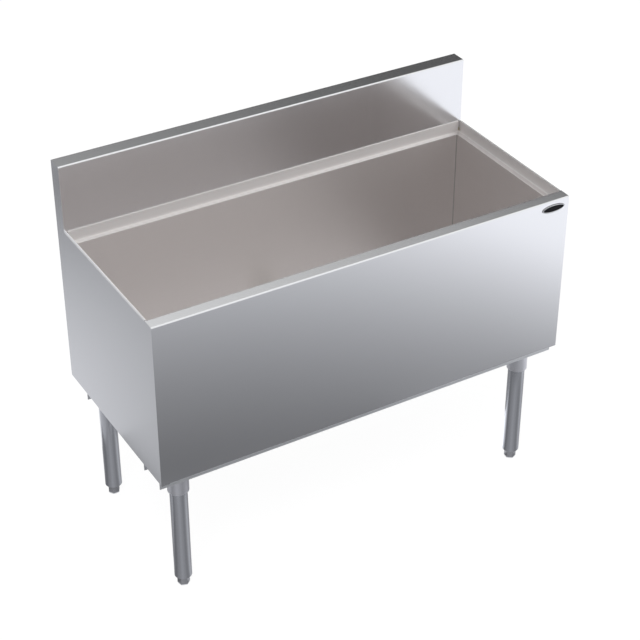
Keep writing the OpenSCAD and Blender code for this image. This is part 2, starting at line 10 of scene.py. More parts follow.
import bmesh
import bpy
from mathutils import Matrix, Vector


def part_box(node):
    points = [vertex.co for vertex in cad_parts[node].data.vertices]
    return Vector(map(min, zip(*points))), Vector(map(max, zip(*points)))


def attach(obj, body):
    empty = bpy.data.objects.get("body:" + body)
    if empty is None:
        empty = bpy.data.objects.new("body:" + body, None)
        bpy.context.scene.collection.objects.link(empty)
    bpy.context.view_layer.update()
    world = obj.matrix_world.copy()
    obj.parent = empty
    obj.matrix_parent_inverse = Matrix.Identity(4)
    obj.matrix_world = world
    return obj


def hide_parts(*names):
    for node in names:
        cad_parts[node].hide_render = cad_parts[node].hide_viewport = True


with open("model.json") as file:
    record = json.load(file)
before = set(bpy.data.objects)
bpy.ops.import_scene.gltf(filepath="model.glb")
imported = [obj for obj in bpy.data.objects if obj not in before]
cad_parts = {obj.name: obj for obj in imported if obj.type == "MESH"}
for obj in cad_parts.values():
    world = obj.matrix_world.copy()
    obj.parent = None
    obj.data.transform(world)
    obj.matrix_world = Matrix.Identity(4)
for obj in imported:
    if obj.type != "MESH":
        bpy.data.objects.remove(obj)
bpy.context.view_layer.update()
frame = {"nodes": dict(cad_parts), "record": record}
NODES = frame["nodes"]
OPENINGS = {opening["name"]: opening["box_m"] for opening in frame["record"]["physics"]["openings"]}
MM = 0.001
INCH = 25.4 * MM
LEGS = ("fl", "fr", "rl", "rr")


# Small helpers for nodes and materials

def linear(code):
    """An sRGB hex colour such as "#c8c9cb" as the linear colour that shaders take."""
    parts = [int(code[i:i + 2], 16) / 255 for i in (1, 3, 5)]
    return tuple(c / 12.92 if c <= 0.04045 else ((c + 0.055) / 1.055) ** 2.4 for c in parts) + (1.0,)


def node(tree, kind, inputs=None, **settings):
    """Adds a node with its settings. inputs maps a socket's name or number to a value, to the node or
    socket that feeds it, or to a list of them. A node feeds from its first output.

    Numbers tell sockets of the same name apart. A Mix node has its factor at 0, and what it mixes at
    2 and 3 for numbers, 4 and 5 for directions, and 6 and 7 for colours. A Random Value node draws a
    number between 2 and 3."""
    made = tree.nodes.new(kind)
    for name, value in settings.items():
        setattr(made, name, value)
    for key, value in (inputs or {}).items():
        for source in value if isinstance(value, list) else [value]:
            if isinstance(source, bpy.types.Node):
                source = source.outputs[0]
            if isinstance(source, bpy.types.NodeSocket):
                tree.links.new(source, made.inputs[key])
            else:
                made.inputs[key].default_value = source
    return made


def new_material(name):
    """A material and its empty node tree."""
    material = bpy.data.materials.new(name)
    material.use_nodes = True
    material.node_tree.nodes.clear()
    return material, material.node_tree


def surface(tree, inputs):
    """The shader of a surface, from its numbers and patterns, and the output that it feeds."""
    shader = node(tree, "ShaderNodeBsdfPrincipled", inputs)
    node(tree, "ShaderNodeOutputMaterial", {"Surface": shader})


def cloudy(tree, size, detail=2.0):
    """Soft patches of one size in metres, for uneven polish, plating and handling."""
    place = node(tree, "ShaderNodeTexCoord").outputs["Object"]
    return node(tree, "ShaderNodeTexNoise", {
        "Vector": place, "Scale": 1 / size, "Detail": detail, "Roughness": 0.45})


def uneven(tree, pattern, dark, light, rough, swing, depth, strength=1.0):
    """What a skin gives the shader whose colour, roughness and height follow one pattern. Its
    roughness keeps within swing of rough, and its relief is depth metres high at full strength."""
    tint = node(tree, "ShaderNodeMix", {
        0: pattern, 6: linear(dark), 7: linear(light)}, data_type="RGBA").outputs[2]
    polish = node(tree, "ShaderNodeMapRange", {
        "Value": pattern, "To Min": rough - swing, "To Max": rough + swing})
    relief = node(tree, "ShaderNodeBump", {"Height": pattern, "Distance": depth, "Strength": strength})
    return {"Base Color": tint, "Roughness": polish, "Normal": relief}


# Metals

def sheet_grain(tree, length, width):
    """Grit lines of a belt-polished sheet, and the direction across them in the sheet. They run along
    X, or along Y where the sheet faces sideways, by more than about 45 degrees. length and width are
    the size of one line in metres."""
    sideways_from = 0.7
    place = node(tree, "ShaderNodeTexCoord").outputs["Object"]
    normal = node(tree, "ShaderNodeNewGeometry").outputs["Normal"]
    facing = node(tree, "ShaderNodeSeparateXYZ", {0: normal}).outputs["X"]
    facing = node(tree, "ShaderNodeMath", {0: facing}, operation="ABSOLUTE")
    sideways = node(tree, "ShaderNodeMath", {0: facing, 1: sideways_from}, operation="GREATER_THAN")
    lines = []
    for along in (0, 1):
        scale = [1 / width] * 3
        scale[along] = 1 / length
        spot = node(tree, "ShaderNodeMapping", {"Vector": place, "Scale": tuple(scale)})
        lines.append(node(tree, "ShaderNodeTexNoise", {
            "Vector": spot, "Scale": 1.0, "Detail": 2.0, "Roughness": 0.7}))
    grain = node(tree, "ShaderNodeMix", {0: sideways, 2: lines[0], 3: lines[1]})
    run = node(tree, "ShaderNodeMix", {
        0: sideways, 4: (1.0, 0.0, 0.0), 5: (0.0, 1.0, 0.0)}, data_type="VECTOR").outputs[1]
    across = node(tree, "ShaderNodeVectorMath", {0: run, 1: normal}, operation="CROSS_PRODUCT")
    return grain, across


def belt_polish(tree, dark, light, rough, stretch):
    """What a No. 4 belt finish gives the shader: straight grit lines, which blur what the sheet mirrors
    more across them than along them. A real line is about 0.05 mm wide. It is drawn 0.5 mm wide, so
    that it can show close up. Wide patches of the sheet are a little better polished than others."""
    grain, across = sheet_grain(tree, length=90 * MM, width=0.5 * MM)
    finish = uneven(tree, grain, dark, light, rough, swing=0.02, depth=0.002 * MM)
    patches = node(tree, "ShaderNodeMapRange", {
        "Value": cloudy(tree, size=260 * MM), "To Min": -0.01, "To Max": 0.01})
    finish["Roughness"] = node(tree, "ShaderNodeMath", {0: finish["Roughness"], 1: patches})
    return {**finish, "Metallic": 1.0, "Anisotropic": stretch, "Tangent": across}


def satin_stainless(name, dark, light, rough, stretch):
    """304 stainless sheet with a No. 4 finish: bright, soft and a little cool."""
    material, tree = new_material(name)
    surface(tree, belt_polish(tree, dark, light, rough, stretch))
    return material


def welded_liner(name, dark, light, seam_and_shade, dressed, rough, stretch):
    """The same sheet as the liner of the bin. Its four upright corners are welded and blended by hand, and a
    darker line about 3 mm wide along them is painted shade in the corners. The recess round the mouth is
    dressed with a coarser belt after welding, so it is softer, and its lighter tint is painted light.
    seam_and_shade and dressed are the colours of the two."""
    material, tree = new_material(name)
    finish = belt_polish(tree, dark, light, rough, stretch)
    place = node(tree, "ShaderNodeTexCoord").outputs["Object"]

    # Painted shade in the tub's welded corners: a darker line, by the distance in plan from the nearest
    # corner of the tub. The opening that the record states keeps clear of the tub's walls.
    clear_of_walls = 6 * MM
    low, high = (Vector(corner) for corner in OPENINGS["bin_cavity"])
    half = (high - low) / 2 + Vector((clear_of_walls, clear_of_walls, 0))
    off = node(tree, "ShaderNodeVectorMath", {0: place, 1: tuple((high + low) / 2)}, operation="SUBTRACT")
    off = node(tree, "ShaderNodeVectorMath", {0: off}, operation="ABSOLUTE")
    off = node(tree, "ShaderNodeVectorMath", {0: off, 1: tuple(half)}, operation="SUBTRACT")
    off = node(tree, "ShaderNodeVectorMath", {0: off, 1: (1.0, 1.0, 0.0)}, operation="MULTIPLY")
    away = node(tree, "ShaderNodeVectorMath", {0: off}, operation="LENGTH").outputs["Value"]
    line = node(tree, "ShaderNodeMapRange", {
        "Value": away, "From Min": 1 * MM, "From Max": 3 * MM, "To Min": 1.0, "To Max": 0.0},
        interpolation_type="SMOOTHSTEP")
    finish["Base Color"] = node(tree, "ShaderNodeMix", {
        0: line, 6: finish["Base Color"], 7: linear(seam_and_shade)}, data_type="RGBA").outputs[2]

    # The dressed recess, from just under the face of the ledge: rougher, with a lighter tint that is painted
    # light. The opening that the record states begins a little above that face.
    clear_of_ledge = 4 * MM
    coarser = 0.22
    dressed_z = OPENINGS["cover_recess"][0][2] - clear_of_ledge
    height = node(tree, "ShaderNodeSeparateXYZ", {0: place}).outputs["Z"]
    recess = node(tree, "ShaderNodeMapRange", {
        "Value": height, "From Min": dressed_z - 1 * MM, "From Max": dressed_z})
    finish["Roughness"] = node(tree, "ShaderNodeMath", {
        0: recess, 1: coarser, 2: finish["Roughness"]}, operation="MULTIPLY_ADD")
    finish["Base Color"] = node(tree, "ShaderNodeMix", {
        0: recess, 6: finish["Base Color"], 7: linear(dressed)}, data_type="RGBA").outputs[2]
    surface(tree, finish)
    return material


def drawn_tube(name, dark, light, rough):
    """Welded stainless tube, polished round and round: the fine rings blur what it mirrors up and
    down its length. A ring is drawn 0.6 mm wide, about ten times a real grit line."""
    material, tree = new_material(name)
    ring_width = 0.6 * MM
    ring_length = 25 * MM
    place = node(tree, "ShaderNodeTexCoord").outputs["Object"]
    spot = node(tree, "ShaderNodeMapping", {
        "Vector": place, "Scale": (1 / ring_length, 1 / ring_length, 1 / ring_width)})
    rings = node(tree, "ShaderNodeTexNoise", {
        "Vector": spot, "Scale": 1.0, "Detail": 2.0, "Roughness": 0.6})
    finish = uneven(tree, rings, dark, light, rough, swing=0.03, depth=0.003 * MM)
    surface(tree, {**finish, "Metallic": 1.0})
    return material


def even_metal(name, dark, light, rough, size, depth):
    """A turned, cast or plated metal, faintly uneven all round at one size."""
    material, tree = new_material(name)
    finish = uneven(tree, cloudy(tree, size), dark, light, rough, swing=0.05, depth=depth, strength=0.4)
    surface(tree, {**finish, "Metallic": 1.0})
    return material


def galvanised(name, dark, light, rough, crystal):
    """Hot-dip galvanised sheet: flat zinc crystals, each with its own tone and polish, so it looks
    like frost. crystal is the size of one in metres."""
    material, tree = new_material(name)
    place = node(tree, "ShaderNodeTexCoord").outputs["Object"]
    cells = node(tree, "ShaderNodeTexVoronoi", {"Vector": place, "Scale": 1 / crystal})
    own = node(tree, "ShaderNodeSeparateXYZ", {0: cells.outputs["Color"]}).outputs
    tint = node(tree, "ShaderNodeMix", {
        0: own["X"], 6: linear(dark), 7: linear(light)}, data_type="RGBA").outputs[2]
    polish = node(tree, "ShaderNodeMapRange", {
        "Value": own["Y"], "To Min": rough - 0.08, "To Max": rough + 0.1})
    relief = node(tree, "ShaderNodeBump", {
        "Height": cells.outputs["Distance"], "Distance": 0.01 * MM, "Strength": 0.3})
    surface(tree, {"Base Color": tint, "Metallic": 1.0, "Roughness": polish, "Normal": relief})
    return material


# Soft and coated materials

def soft_matter(name, dark, light, rough, size, depth, shine):
    """A moulded, foamed or enamelled skin, uneven at one size. shine is how much it mirrors head-on."""
    material, tree = new_material(name)
    pattern = cloudy(tree, size, detail=3.0)
    finish = uneven(tree, pattern, dark, light, rough, swing=0.05, depth=depth, strength=0.6)
    surface(tree, {**finish, "Specular IOR Level": shine})
    return material


# Belt-polished sheet of the body: soft images of its surroundings, in a bright and slightly cool grey
CASING = satin_stainless("satin_stainless_casing", "#e9eaec", "#f0f1f3", rough=0.18, stretch=0.4)
# The liner's sheet, blurred further, so the tub is a broad glow without images, in a warmer grey, with
# painted shade in its corners and painted light on its recess
LINER = welded_liner("satin_stainless_liner", "#e8e5e4", "#eeeae9", seam_and_shade="#aaa7a5", dressed="#f5f2f1",
                     rough=0.36, stretch=0.75)
# Sheet of the channels, left as the mill rolled it: fine lines as well, but matt and a shade darker
MILL = satin_stainless("mill_stainless_channel", "#dcdee1", "#e6e8ea", rough=0.46, stretch=0.3)
# Polished tube: narrow upright streaks of light and dark
TUBE = drawn_tube("polished_stainless_tube", "#d9dbe0", "#e2e4e9", rough=0.20)
# Cast sockets: a pale, even sheen, with the fine skin that a casting keeps
SOCKET = even_metal("cast_stainless_socket", "#eff0f6", "#f5f6fa", rough=0.36, size=1.5 * MM, depth=0.01 * MM)
# Turned bar: clear edges, with a duller polish than the tube's
FOOT = even_metal("turned_stainless_foot", "#c9cace", "#d6d7db", rough=0.32, size=3 * MM, depth=0.005 * MM)
# Zinc-dipped sheet: pale and frosty
ZINC = galvanised("galvanised_sheet", "#a9adb1", "#cfd3d6", rough=0.42, crystal=9 * MM)
# Bright zinc plating: smooth and a little blue-grey
PLATED = even_metal("zinc_plated_steel", "#bcbfc3", "#d3d5d8", rough=0.28, size=2 * MM, depth=0.004 * MM)
# Weld bead after the wire brush: mottled, warm and uneven
WELD = even_metal("brushed_weld_bead", "#a8a6a2", "#c9c6c1", rough=0.38, size=1.2 * MM, depth=0.02 * MM)
# Polished bead of the badge: one thin bright line
RIM = even_metal("polished_badge_rim", "#eceef1", "#f3f4f6", rough=0.14, size=2 * MM, depth=0.002 * MM)
# Brass under nickel plating: silvery with a yellow cast
BRASS = even_metal("nickel_plated_brass", "#e2dfd8", "#ece9e3", rough=0.26, size=4 * MM, depth=0.004 * MM)
# Stamped plate of the strainer: bright, and faintly wavy between its holes
STRAINER = even_metal("stamped_stainless_strainer", "#dcdad7", "#e8e6e3", rough=0.25, size=5 * MM,
                      depth=0.004 * MM)
# Moulded rubber: black and matt, with a fine skin
RUBBER = soft_matter("moulded_rubber_gasket", "#1b1b1c", "#262627", rough=0.62, size=2 * MM,
                     depth=0.05 * MM, shine=0.5)
# Foam as it sets in the casing: cream, matt and bubbly
FOAM = soft_matter("polyurethane_foam", "#d9c48e", "#e6d6a8", rough=0.85, size=3 * MM,
                   depth=0.4 * MM, shine=0.3)
# Baked enamel: near black, with a low gloss
ENAMEL = soft_matter("black_badge_enamel", "#06060a", "#0b0b10", rough=0.34, size=5 * MM,
                     depth=0.004 * MM, shine=0.12)

FINISHES = {
    CASING: ("front_panel", "left_side_panel", "right_side_panel", "back_panel", "backsplash"),
    LINER: ("bin_liner",),
    MILL: ("front_leg_channel", "rear_leg_rail"),
    TUBE: ["leg_tube_" + leg for leg in LEGS],
    SOCKET: ["leg_socket_" + leg for leg in LEGS],
    FOOT: ["foot_" + leg for leg in LEGS] + ["leg_insert_" + leg for leg in LEGS],
    ZINC: ("base_pan",),
    PLATED: ("base_pan_screws", "channel_screws", "socket_studs", "socket_nuts", "socket_set_screws"),
    BRASS: ("drain_body", "drain_locknut", "drain_tailpiece"),
    STRAINER: ("drain_strainer",),
    RUBBER: ("drain_gasket",),
    FOAM: ("insulation",),
    ENAMEL: ("badge_plate",),
}
for finish, names in FINISHES.items():
    for name in names:
        slots = NODES[name].data.materials
        slots.clear()
        slots.append(finish)


# Geometry Nodes trees for what repeats: threads, hexagons, screw heads and weld rings

def new_growth(name, sizes):
    """A tree that grows one shape on every point it is given, with its sizes as named inputs."""
    tree = bpy.data.node_groups.new(name, "GeometryNodeTree")
    tree.interface.new_socket("Shapes", in_out="OUTPUT", socket_type="NodeSocketGeometry")
    tree.interface.new_socket("Points", in_out="INPUT", socket_type="NodeSocketGeometry")
    for size in sizes + ("Turn", "Spread"):
        tree.interface.new_socket(size, in_out="INPUT", socket_type="NodeSocketFloat")
    tree.interface.new_socket("Finish", in_out="INPUT", socket_type="NodeSocketMaterial")
    return tree, node(tree, "NodeGroupInput").outputs


def end_growth(tree, given, shape):
    """Sets the shape on every point, turned about Z by Turn and a random part of Spread."""
    chance = node(tree, "FunctionNodeRandomValue", {3: given["Spread"], "Seed": 5}, data_type="FLOAT")
    turn = node(tree, "ShaderNodeMath", {0: given["Turn"], 1: chance.outputs[1]})
    facing = node(tree, "ShaderNodeCombineXYZ", {"Z": turn})
    placed = node(tree, "GeometryNodeInstanceOnPoints", {
        "Points": given["Points"], "Instance": shape, "Rotation": facing})
    real = node(tree, "GeometryNodeRealizeInstances", {0: placed})
    dressed = node(tree, "GeometryNodeSetMaterial", {"Geometry": real, "Material": given["Finish"]})
    node(tree, "NodeGroupOutput", {0: dressed})
    return tree


def drawn_in(tree, shape, place, share):
    """The shape with every point drawn towards its axis, by a share of the way there."""
    flat = node(tree, "ShaderNodeVectorMath", {0: place, 1: (-1.0, -1.0, 0.0)}, operation="MULTIPLY")
    shift = node(tree, "ShaderNodeVectorMath", {0: flat, "Scale": share}, operation="SCALE")
    return node(tree, "GeometryNodeSetPosition", {"Geometry": shape, "Offset": shift})


def lower_end(tree, given):
    """The middle of the shape's lower end, half its height down."""
    drop = node(tree, "ShaderNodeMath", {0: given["Height"], 1: -0.5}, operation="MULTIPLY")
    return node(tree, "ShaderNodeCombineXYZ", {"Z": drop})


def bored(tree, given, shape, length):
    """The shape with a round hole along its axis, if the tree's Bore isn't 0. The drill is twice as
    long as the shape, so that it comes out at both ends."""
    reach = node(tree, "ShaderNodeMath", {0: length, 1: 2.0}, operation="MULTIPLY")
    drill = node(tree, "GeometryNodeMeshCylinder", {
        "Vertices": 32, "Radius": given["Bore"], "Depth": reach})
    pierced = node(tree, "GeometryNodeMeshBoolean", {0: shape, 1: drill}, operation="DIFFERENCE",
                   solver="EXACT")
    return node(tree, "GeometryNodeSwitch", {0: given["Bore"], 1: shape, 2: pierced})


def thread_tree():
    """A bar or pipe with a right-hand screw thread: each row of a fine cylinder is drawn in where the
    groove passes, and tapers at both ends."""
    rows_per_turn = 8.0
    tree, given = new_growth("screw_thread", ("Radius", "Bore", "Length", "Pitch", "Depth"))
    turns = node(tree, "ShaderNodeMath", {0: given["Length"], 1: given["Pitch"]}, operation="DIVIDE")
    rows = node(tree, "ShaderNodeMath", {0: turns, 1: rows_per_turn}, operation="MULTIPLY")
    bar = node(tree, "GeometryNodeMeshCylinder", {
        "Vertices": 32, "Side Segments": rows, "Radius": given["Radius"], "Depth": given["Length"]})
    place = node(tree, "GeometryNodeInputPosition")
    parts = node(tree, "ShaderNodeSeparateXYZ", {0: place}).outputs

    # How deep in the groove a point is, from 0 on the crest to 1 at the root
    angle = node(tree, "ShaderNodeMath", {0: parts["Y"], 1: parts["X"]}, operation="ARCTAN2")
    round_part = node(tree, "ShaderNodeMath", {0: angle, 1: 2 * math.pi}, operation="DIVIDE")
    climb = node(tree, "ShaderNodeMath", {0: parts["Z"], 1: given["Pitch"]}, operation="DIVIDE")
    phase = node(tree, "ShaderNodeMath", {0: climb, 1: round_part}, operation="SUBTRACT")
    flank = node(tree, "ShaderNodeMath", {0: phase, 1: 0.5}, operation="PINGPONG")
    groove = node(tree, "ShaderNodeMath", {0: flank, 1: 2.0}, operation="MULTIPLY")

    # The taper, over one groove's depth from each end
    height = node(tree, "ShaderNodeMath", {0: parts["Z"]}, operation="ABSOLUTE")
    half = node(tree, "ShaderNodeMath", {0: given["Length"], 1: 0.5}, operation="MULTIPLY")
    left = node(tree, "ShaderNodeMath", {0: half, 1: height}, operation="SUBTRACT")
    taper = node(tree, "ShaderNodeMapRange", {
        "Value": left, "From Max": given["Depth"], "To Min": 1.0, "To Max": 0.0})

    deepest = node(tree, "ShaderNodeMath", {0: groove, 1: taper}, operation="MAXIMUM")
    inward = node(tree, "ShaderNodeMath", {0: given["Depth"], 1: deepest}, operation="MULTIPLY")
    share = node(tree, "ShaderNodeMath", {0: inward, 1: given["Radius"]}, operation="DIVIDE")
    threaded = drawn_in(tree, bar, place, share)
    return end_growth(tree, given, bored(tree, given, threaded, given["Length"]))


def hexagon_tree():
    """A hexagon whose ends are turned to a 30 degree chamfer, as on a nut: where a prism and two
    blunt cones overlap."""
    flat_share = 0.488
    tree, given = new_growth("turned_hexagon", ("Width", "Height", "Bore"))
    corner = node(tree, "ShaderNodeMath", {0: given["Width"], 1: math.sqrt(3)}, operation="DIVIDE")
    prism = node(tree, "GeometryNodeMeshCylinder", {
        "Vertices": 6, "Radius": corner, "Depth": given["Height"]})

    # A cone starts at the round flat that the chamfer leaves, whose radius is a share of the width
    flat = node(tree, "ShaderNodeMath", {0: given["Width"], 1: flat_share}, operation="MULTIPLY")
    spread = node(tree, "ShaderNodeMath", {0: given["Height"], 1: math.sqrt(3)}, operation="MULTIPLY")
    wide = node(tree, "ShaderNodeMath", {0: flat, 1: spread})
    cone = node(tree, "GeometryNodeMeshCone", {
        "Vertices": 48, "Radius Top": flat, "Radius Bottom": wide, "Depth": given["Height"]})
    narrow_top = node(tree, "GeometryNodeTransform", {
        "Geometry": cone, "Translation": lower_end(tree, given)})
    narrow_base = node(tree, "GeometryNodeTransform", {
        "Geometry": narrow_top, "Rotation": (math.pi, 0.0, 0.0)})
    turned = node(tree, "GeometryNodeMeshBoolean", {
        1: [prism, narrow_top, narrow_base]}, operation="INTERSECT", solver="EXACT")
    return end_growth(tree, given, bored(tree, given, turned, given["Height"]))


def pan_head_tree():
    """A pan head that hangs upside down, its edge rounded below, with a cross recess."""
    edge_curve = 3.0
    edge_share = 0.3
    tree, given = new_growth("cross_recessed_head", ("Radius", "Height"))
    disc = node(tree, "GeometryNodeMeshCylinder", {
        "Vertices": 32, "Side Segments": 8, "Radius": given["Radius"], "Depth": given["Height"]})
    place = node(tree, "GeometryNodeInputPosition")
    level = node(tree, "ShaderNodeSeparateXYZ", {0: place}).outputs["Z"]
    share = node(tree, "ShaderNodeMath", {0: level, 1: given["Height"]}, operation="DIVIDE")
    down = node(tree, "ShaderNodeMath", {0: 0.5, 1: share}, operation="SUBTRACT")
    curve = node(tree, "ShaderNodeMath", {0: down, 1: edge_curve}, operation="POWER")
    rounding = node(tree, "ShaderNodeMath", {0: curve, 1: edge_share}, operation="MULTIPLY")
    head = drawn_in(tree, disc, place, rounding)

    # The cross is cut by two blades, whose sizes are shares of the head's
    sizes = {axis: node(tree, "ShaderNodeMath", {0: given[size], 1: part}, operation="MULTIPLY")
             for axis, size, part in (("X", "Radius", 1.1), ("Y", "Radius", 0.24), ("Z", "Height", 1.2))}
    blade = node(tree, "GeometryNodeMeshCube", {"Size": node(tree, "ShaderNodeCombineXYZ", sizes)})
    blades = [node(tree, "GeometryNodeTransform", {
        "Geometry": blade, "Translation": lower_end(tree, given), "Rotation": (0.0, 0.0, turn)})
        for turn in (0.0, math.pi / 2)]
    recessed = node(tree, "GeometryNodeMeshBoolean", {0: head, 1: blades}, operation="DIFFERENCE",
                    solver="EXACT")
    return end_growth(tree, given, recessed)


def weld_tree():
    """A ring of weld laid in overlapping drops, each a little different in size."""
    spacing_share = 0.6
    smallest_drop = 0.88
    tree, given = new_growth("weld_ring", ("Radius", "Bead"))
    way = node(tree, "ShaderNodeMath", {0: given["Radius"], 1: 2 * math.pi}, operation="MULTIPLY")
    step = node(tree, "ShaderNodeMath", {0: given["Bead"], 1: spacing_share}, operation="MULTIPLY")
    count = node(tree, "ShaderNodeMath", {0: way, 1: step}, operation="DIVIDE")
    ring = node(tree, "GeometryNodeMeshCircle", {"Vertices": count, "Radius": given["Radius"]})
    drop = node(tree, "GeometryNodeMeshIcoSphere", {"Radius": given["Bead"], "Subdivisions": 2})
    sizes = node(tree, "FunctionNodeRandomValue", {2: smallest_drop, 3: 1.0, "Seed": 11}, data_type="FLOAT")
    drops = node(tree, "GeometryNodeInstanceOnPoints", {
        "Points": ring, "Instance": drop, "Scale": sizes.outputs[1]})
    return end_growth(tree, given, drops)


THREAD = thread_tree()
HEXAGON = hexagon_tree()
PAN_HEAD = pan_head_tree()
WELD_RING = weld_tree()


# Fine pieces

def link(thing):
    """Adds an object to the scene and hands it back."""
    bpy.context.scene.collection.objects.link(thing)
    return thing


def grow(name, tree, points, finish, **sizes):
    """Runs a tree on points, and keeps what it grows as a plain mesh at the origin."""
    seeds = bpy.data.meshes.new(name + "_points")
    seeds.from_pydata(points, [], [])
    grown = link(bpy.data.objects.new(name, seeds))
    growth = grown.modifiers.new("growth", "NODES")
    growth.node_group = tree
    values = dict(sizes, Finish=finish)
    for socket in tree.interface.items_tree:
        if socket.name in values:
            growth[socket.identifier] = values[socket.name]
    plain = bpy.data.meshes.new_from_object(grown.evaluated_get(bpy.context.evaluated_depsgraph_get()))
    grown.modifiers.remove(growth)
    grown.data = plain
    bpy.data.meshes.remove(seeds)
    plain.shade_smooth()
    plain.set_sharp_from_angle(angle=math.radians(32))
    return grown


def fit(piece, body, slot, *nodes):
    """Puts a piece on its body, and hides the CAD nodes that it stands for."""
    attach(piece, body)
    if nodes:
        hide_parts(*nodes)


def loose_parts(name):
    """The lowest and highest corner of each separate part of a CAD node."""
    shape = bmesh.new()
    shape.from_mesh(NODES[name].data)
    bmesh.ops.remove_doubles(shape, verts=shape.verts, dist=0.001 * MM)
    waiting = set(shape.verts)
    boxes = []
    while waiting:
        found = [waiting.pop()]
        for vert in found:
            beside = {edge.other_vert(vert) for edge in vert.link_edges} & waiting
            waiting -= beside
            found.extend(beside)
        boxes.append([tuple(pick(vert.co[axis] for vert in found) for axis in range(3))
                      for pick in (min, max)])
    shape.free()
    return [(Vector(low), Vector(high)) for low, high in sorted(boxes)]


def off_axis(place, axis):
    """Distance of a place from an upright axis."""
    return math.hypot(place.x - axis.x, place.y - axis.y)


def ring_places(name, axis):
    """Distance from an upright axis, and height, of each vertex of a CAD node."""
    return [(off_axis(vert.co, axis), vert.co.z) for vert in NODES[name].data.vertices]


def axis_of(name):
    """Where the upright axis through the middle of a CAD node meets the floor."""
    low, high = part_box(name)
    return Vector(((low[0] + high[0]) / 2, (low[1] + high[1]) / 2, 0))


def middles(parts, low_z, high_z):
    """The middle of each part, between two heights."""
    return [((low.x + high.x) / 2, (low.y + high.y) / 2, (low_z + high_z) / 2) for low, high in parts]


def screws(name, head_height, shank_radius, pitch):
    """Heads and threaded shanks of upright screws whose heads point down, from their CAD boxes. The
    head is a hexagon where the box is wider one way than the other, and a pan head elsewhere."""
    parts = loose_parts(name)
    low, high = parts[0]
    wide = high.x - low.x
    flats = high.y - low.y
    seat = low.z + head_height
    if wide > 1.05 * flats:
        heads = grow(name + "_heads", HEXAGON, middles(parts, low.z, seat), PLATED,
                     Width=flats, Height=head_height, Spread=math.radians(60))
    else:
        heads = grow(name + "_heads", PAN_HEAD, middles(parts, low.z, seat), PLATED,
                     Radius=wide / 2, Height=head_height, Spread=math.radians(90))
    shanks = grow(name + "_shanks", THREAD, middles(parts, seat, high.z), PLATED,
                  Radius=shank_radius, Length=high.z - seat, Pitch=pitch, Depth=0.55 * pitch)
    fit(heads, "unit", "plated_fasteners", name)
    fit(shanks, "unit", "plated_fasteners")


# Screws of 4.2 mm in the base pan, and hexagon screws M6 in the channels
screws("base_pan_screws", head_height=1.8 * MM, shank_radius=2.1 * MM, pitch=1.4 * MM)
screws("channel_screws", head_height=4 * MM, shank_radius=3 * MM, pitch=1 * MM)

# Studs and nuts that hold the leg sockets: M6, with a 1 mm pitch
stud_parts = loose_parts("socket_studs")
low, high = stud_parts[0]
stud_radius = (high.x - low.x) / 2
studs = grow("socket_studs_threaded", THREAD, middles(stud_parts, low.z, high.z), PLATED,
             Radius=stud_radius, Length=high.z - low.z, Pitch=1 * MM, Depth=0.6 * MM)
fit(studs, "unit", "plated_fasteners", "socket_studs")
nut_parts = loose_parts("socket_nuts")
low, high = nut_parts[0]
plate_z = high.z
nuts = grow("socket_nuts_turned", HEXAGON, middles(nut_parts, low.z, plate_z), PLATED,
            Width=high.y - low.y, Height=plate_z - low.z, Bore=stud_radius - 0.2 * MM,
            Spread=math.radians(60))
fit(nuts, "unit", "plated_fasteners", "socket_nuts")

# Fillet weld between each socket and its plate
socket_radius = max(away for away, z in ring_places("leg_socket_fl", axis_of("leg_tube_fl"))
                    if z < plate_z - 1 * MM)
rings = [tuple(axis_of("leg_tube_" + leg) + Vector((0, 0, plate_z))) for leg in LEGS]
welds = grow("socket_welds", WELD_RING, rings, WELD, Radius=socket_radius, Bead=2.3 * MM)
fit(welds, "unit", "socket_steel")

# Levelling feet: a turned hexagon on a 5/8 inch stem with 11 threads to the inch, which starts a
# little way down in the hexagon
stem_sunk = 2 * MM
for leg in LEGS:
    name = "foot_" + leg
    axis = axis_of("leg_tube_" + leg)
    places = ring_places(name, axis)
    top = max(z for away, z in places)
    stem_radius = max(away for away, z in places if z > top - 1 * MM)
    hex_top = max(z for away, z in places if away > 1.2 * stem_radius)
    corner = max(NODES[name].data.vertices, key=lambda vert: off_axis(vert.co, axis)).co
    hexagon = grow(name + "_hexagon", HEXAGON, [(axis.x, axis.y, hex_top / 2)], FOOT,
                   Width=off_axis(corner, axis) * math.sqrt(3), Height=hex_top,
                   Turn=math.atan2(corner.y - axis.y, corner.x - axis.x))
    stem_low = hex_top - stem_sunk
    stem = grow(name + "_stem", THREAD, [(axis.x, axis.y, (top + stem_low) / 2)], FOOT,
                Radius=stem_radius, Length=top - stem_low, Pitch=INCH / 11, Depth=1.3 * MM)
    fit(hexagon, name, "foot_steel", name)
    fit(stem, name, "foot_steel")

# Drain tailpiece: a pipe with 11 1/2 threads to the inch on its lower end. The plain rest comes from
# the same tree, with a groove of no depth.
axis = axis_of("drain_tailpiece")
places = ring_places("drain_tailpiece", axis)
(_, _, low_z), (_, _, high_z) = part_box("drain_tailpiece")
bore = min(away for away, z in places)
pipe_radius = max(away for away, z in places if z > high_z - 1 * MM)
thread_radius = max(away for away, z in places)
thread_top = max(z for away, z in places if away > (pipe_radius + thread_radius) / 2)
lower = grow("drain_tailpiece_thread", THREAD, [(axis.x, axis.y, (low_z + thread_top) / 2)], BRASS,
             Radius=thread_radius, Bore=bore, Length=thread_top - low_z, Pitch=INCH / 11.5,
             Depth=1.2 * MM)
upper = grow("drain_tailpiece_pipe", THREAD, [(axis.x, axis.y, (thread_top + high_z) / 2)], BRASS,
             Radius=pipe_radius, Bore=bore, Length=high_z - thread_top, Pitch=high_z - thread_top,
             Depth=0.0)
fit(lower, "unit", "drain_metal", "drain_tailpiece")
fit(upper, "unit", "drain_metal")


